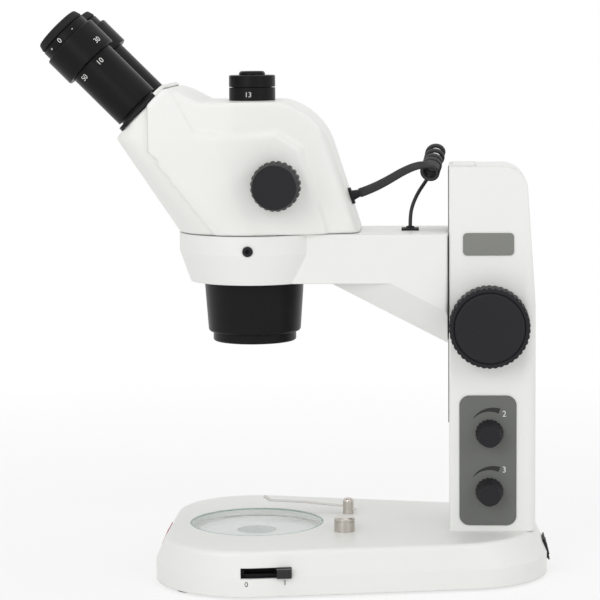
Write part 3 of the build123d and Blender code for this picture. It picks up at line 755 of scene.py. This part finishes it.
# %% Digits on panel and base
DIGIT_X = 145.6
DIGIT_SIZE = 6 * MM
LEVER_SIZE = 5 * MM
for name, digit, z in (("digit_upper", "2", 116.7), ("digit_lower", "3", 77.1)):
    place = Vector((DIGIT_X * MM, PANEL_FACE, z * MM))
    printed_text(name, digit, DIGIT_SIZE, place, facing_user, "stand", print_white)
for name, digit, x, y, z, yaw in (
    ("lever_off", "0", -30.3, -100.0, 10.6, 0),
    ("lever_on", "1", -4.2, -96.6, 11.3, 10.5),
):
    place = Vector((x, y, z)) * MM
    turned = Matrix.Rotation(radians(yaw), 4, "Z") @ facing_user
    printed_text(name, digit, LEVER_SIZE, place, turned, "stand", print_dark)
print("digits on the panel and at the lever")

# %% [markdown]
# The eye tubes carry a plain scale of numbers, and the dioptre ring a zero between plus and
# minus. Each digit lies flat against the curved wall: its plane touches the cylinder at the
# place where the digit stands, so the place is given as a height along the tube and a
# distance sideways from the line nearest to the side of the controls.

# %% Numbers on the tubes
TUBE_FOOT = Vector((-109.0, -30.0, 332.15)) * MM
TUBE_PROUD = 0.02
PORT_PLACE = Vector((-32.5, -16.32, 339.4)) * MM
PORT_SIZE = 5 * MM
tube_way = Vector((-1, 0, 1)).normalized()
slope_way = Vector((1, 0, 1)).normalized()
outward = Vector((0, -1, 0))


def tube_number(name, text, height, sideways, radius, size, body):
    """Number on the wall of a tube of that radius; all sizes in millimetres."""
    lean = asin(sideways / radius)
    normal = outward * cos(lean) + slope_way * sin(lean)
    reading = slope_way * cos(lean) - outward * sin(lean)
    turn = Matrix((reading, tube_way, normal)).transposed().to_4x4()
    place = TUBE_FOOT + (tube_way * height + normal * (radius + TUBE_PROUD)) * MM
    printed_text(name, text, size * MM, place, turn, body, print_white)


tube_number("tube_10", "10", 38.6, 6.5, 17.1, 5.2, "tube_near")
tube_number("tube_50", "50", 38.6, -9.2, 17.1, 5.2, "tube_near")
tube_number("barrel_30", "30", 50.5, 15.5, 20.9, 5.2, "ocular_near")
tube_number("dial_zero", "0", 68.1, -2.6, 18.5, 5.0, "dial_near")
tube_number("dial_plus", "+", 68.1, -11.0, 18.5, 4.4, "dial_near")
tube_number("dial_minus", "-", 68.1, 9.0, 18.5, 5.0, "dial_near")
printed_text("port_13", "13", PORT_SIZE, PORT_PLACE, facing_user, "arm", print_white)
print("numbers on the near tube, its dioptre ring and the port")

# %% [markdown]
# Floor and world are white where the camera, a mirror or glass looks at them, and dimmer
# as a source of light, so the enamel keeps its own tone. Light Path tells which ray asks.

# %% Rays that see the background
def seen_rays(tree):
    """Socket that is 1 for rays of the camera, off a mirror and through glass."""
    rays = tree.nodes.new("ShaderNodeLightPath")
    seen = rays.outputs["Is Camera Ray"]
    for kind in ("Is Glossy Ray", "Is Transmission Ray"):
        either = tree.nodes.new("ShaderNodeMath")
        either.operation = "MAXIMUM"
        tree.links.new(seen, either.inputs[0])
        tree.links.new(rays.outputs[kind], either.inputs[1])
        seen = either.outputs[0]
    return seen


# %% [markdown]
# The floor is pale paint that takes the object's shadow, seen through white light. With
# distance only the white light is left, so that no horizon shows. Near the object a share
# of the paint is kept, which is small, because the photograph's shadow is faint.

# %% Floor
FLOOR_HALF = 6.0
FADE_START, FADE_END = 0.3, 0.9
SHADOW_KEPT = 0.3
corners = [(x * FLOOR_HALF, y * FLOOR_HALF, 0) for x, y in ((-1, -1), (1, -1), (1, 1), (-1, 1))]
floor_mesh = bpy.data.meshes.new("floor")
floor_mesh.from_pydata(corners, [], [(0, 1, 2, 3)])
floor = link("floor", floor_mesh)
paint = Finish("floor_white")
paint.put(base_color=colour(0.93, 0.93, 0.93), roughness=0.9)
ground_x, ground_y, _ = paint.parts()
away = ((ground_x**2 + ground_y**2) ** 0.5 - FADE_START) / (FADE_END - FADE_START)
lit = away.clamp() * SHADOW_KEPT + (1 - SHADOW_KEPT)
white_light = paint.node("ShaderNodeEmission", sockets={"Color": colour(1, 1, 1)})
painted = Wire(paint, paint.shader.outputs[0])
lit_where_seen = lit * Wire(paint, seen_rays(paint.tree))
surface = paint.node("ShaderNodeMixShader", sockets={0: lit_where_seen, 1: painted, 2: white_light})
paint.feed(paint.tree.nodes["Material Output"].inputs["Surface"], surface)
floor.data.materials.append(paint.material)
print("floor of", 2 * FLOOR_HALF, "m")

# %% [markdown]
# The world gives most of the light, soft and from all sides. As light it is dimmer than
# the white that it shows, so the blacks stay deep and the enamel doesn't clip.

# %% World
AMBIENT = 0.66
world = bpy.data.worlds.new("surround")
bpy.context.scene.world = world
world.use_nodes = True
tree = world.node_tree
glow = tree.nodes["Background"]
glow.inputs["Color"].default_value = colour(1, 1, 1)
strength = tree.nodes.new("ShaderNodeMapRange")
strength.inputs["To Min"].default_value = AMBIENT
strength.inputs["To Max"].default_value = 1.0
tree.links.new(seen_rays(tree), strength.inputs["Value"])
tree.links.new(strength.outputs[0], glow.inputs["Strength"])
print("world at", AMBIENT)

# %% [markdown]
# Three large round lamps model the form: a key light from the left front, a weak one from
# above, and one from the right that keeps the pillar's side from going grey.

# %% Lamps
def soft_light(name, place, aim, size, power):
    lamp = bpy.data.lights.new(name, "AREA")
    lamp.shape = "DISK"
    lamp.size = size
    lamp.energy = power
    holder = link(name, lamp)
    holder.location = place
    aim_way = Vector(aim) - Vector(place)
    holder.rotation_euler = aim_way.to_track_quat("-Z", "Y").to_euler()


soft_light("key_light", (-0.7, -1.7, 0.9), (0, 0, 0.2), 1.1, 8.6)
soft_light("top_light", (0.2, 0.1, 1.7), (0, 0, 0.1), 1.2, 3.5)
soft_light("side_light", (1.3, -1.3, 0.9), (0, 0, 0.2), 1.0, 4.2)
bpy.context.scene.view_settings.view_transform = "Standard"
print("three lamps")
